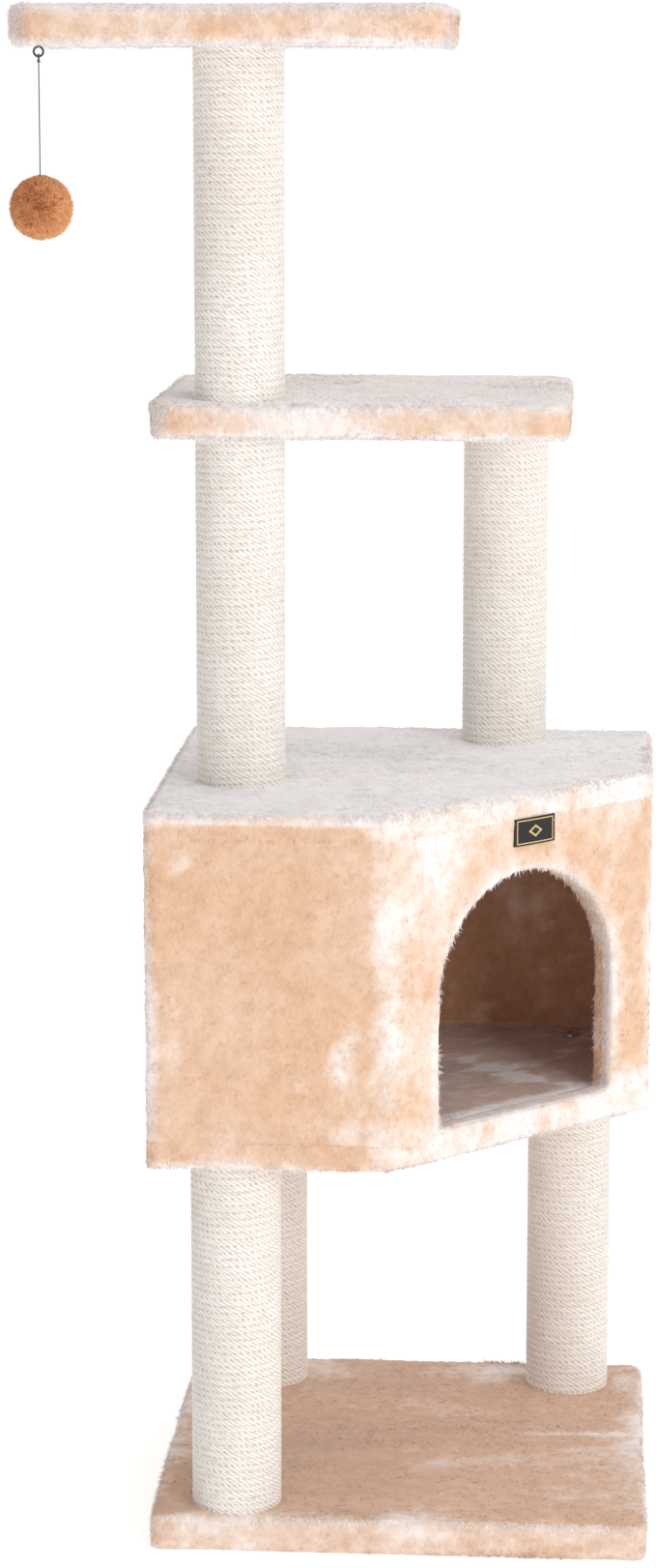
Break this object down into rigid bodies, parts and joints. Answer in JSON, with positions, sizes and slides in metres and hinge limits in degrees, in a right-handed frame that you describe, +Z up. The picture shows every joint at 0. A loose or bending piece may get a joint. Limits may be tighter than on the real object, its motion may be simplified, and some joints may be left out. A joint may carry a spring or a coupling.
{
  "type": "cat tree",
  "caption": "Cat tree: square plush base, sisal-wrapped posts, five-sided condo with an arched doorway across its cut corner, mid and top platforms, and a pom-pom hanging on a string.",
  "frame": {"origin": "on the floor, under the middle of the base", "axes": "+Z up, the condo's front wall faces -Y and its doorway faces +X -Y, +X to the right seen from the front"},
  "size_m": [0.4965, 0.4275, 1.22],
  "materials": {
    "plush": "brushed peach-beige faux fur",
    "plush_inside": "short beige plush",
    "sisal": "wound natural sisal rope, matte",
    "tube_cardboard": "spiral-wound kraft tube",
    "plug_wood": "raw turned wood",
    "particleboard": "raw particleboard",
    "zinc_steel": "zinc-plated",
    "tag": "black woven tag with a plain gold border",
    "string": "thin dark elastic string",
    "pompom_fur": "fluffy caramel faux fur"
  },
  "bodies": {
    "root": {"base_board": "particleboard", "base_cover": "plush", "base_bolts": "zinc_steel", "base_washers": "zinc_steel", "base_staples": "zinc_steel", "lower_post_front_left_tube": "tube_cardboard", "lower_post_front_left_rope": "sisal", "lower_post_front_left_plugs": "plug_wood", "lower_post_back_left_tube": "tube_cardboard", "lower_post_back_left_rope": "sisal", "lower_post_back_left_plugs": "plug_wood", "lower_post_back_right_tube": "tube_cardboard", "lower_post_back_right_rope": "sisal", "lower_post_back_right_plugs": "plug_wood", "mid_post_left_tube": "tube_cardboard", "mid_post_left_rope": "sisal", "mid_post_left_plugs": "plug_wood", "mid_post_right_tube": "tube_cardboard", "mid_post_right_rope": "sisal", "mid_post_right_plugs": "plug_wood", "top_post_tube": "tube_cardboard", "top_post_rope": "sisal", "top_post_plugs": "plug_wood", "post_insert_nuts": "zinc_steel", "condo_floor_board": "particleboard", "condo_roof_board": "particleboard", "condo_front_wall": "particleboard", "condo_door_wall": "particleboard", "condo_right_wall": "particleboard", "condo_back_wall": "particleboard", "condo_left_wall": "particleboard", "condo_screws": "zinc_steel", "condo_floor_cover": "plush", "condo_roof_cover": "plush", "condo_wall_cover": "plush", "condo_wall_lining": "plush_inside", "condo_floor_lining": "plush_inside", "condo_ceiling_lining": "plush_inside", "condo_floor_bolts": "zinc_steel", "condo_floor_washers": "zinc_steel", "condo_roof_bolts": "zinc_steel", "condo_roof_washers": "zinc_steel", "label_tag": "tag", "mid_platform_board": "particleboard", "mid_platform_cover": "plush", "mid_platform_stud": "zinc_steel", "mid_platform_bolt": "zinc_steel", "mid_platform_washer": "zinc_steel", "top_platform_board": "particleboard", "top_platform_cover": "plush", "top_platform_bolt": "zinc_steel", "top_platform_washer": "zinc_steel", "toy_screw_eye": "zinc_steel"},
    "toy_hanger": {"toy_loop": "string"},
    "toy_string": {"toy_cord": "string"},
    "toy_ball": {"toy_pompom": "pompom_fur"}
  },
  "joints": [
    {"name": "toy_swing_side", "type": "hinge", "parent": "root", "child": "toy_hanger", "pos_m": [-0.273, -0.2, 1.1855], "axis": [0, 1, 0], "range_deg": [-60, 60]},
    {"name": "toy_swing_fore", "type": "hinge", "parent": "toy_hanger", "child": "toy_string", "pos_m": [-0.273, -0.2, 1.1783], "axis": [1, 0, 0], "range_deg": [-60, 60]},
    {"name": "toy_twist", "type": "hinge", "parent": "toy_string", "child": "toy_ball", "pos_m": [-0.273, -0.2, 1.07], "axis": [0, 0, 1], "continuous": true}
  ]
}
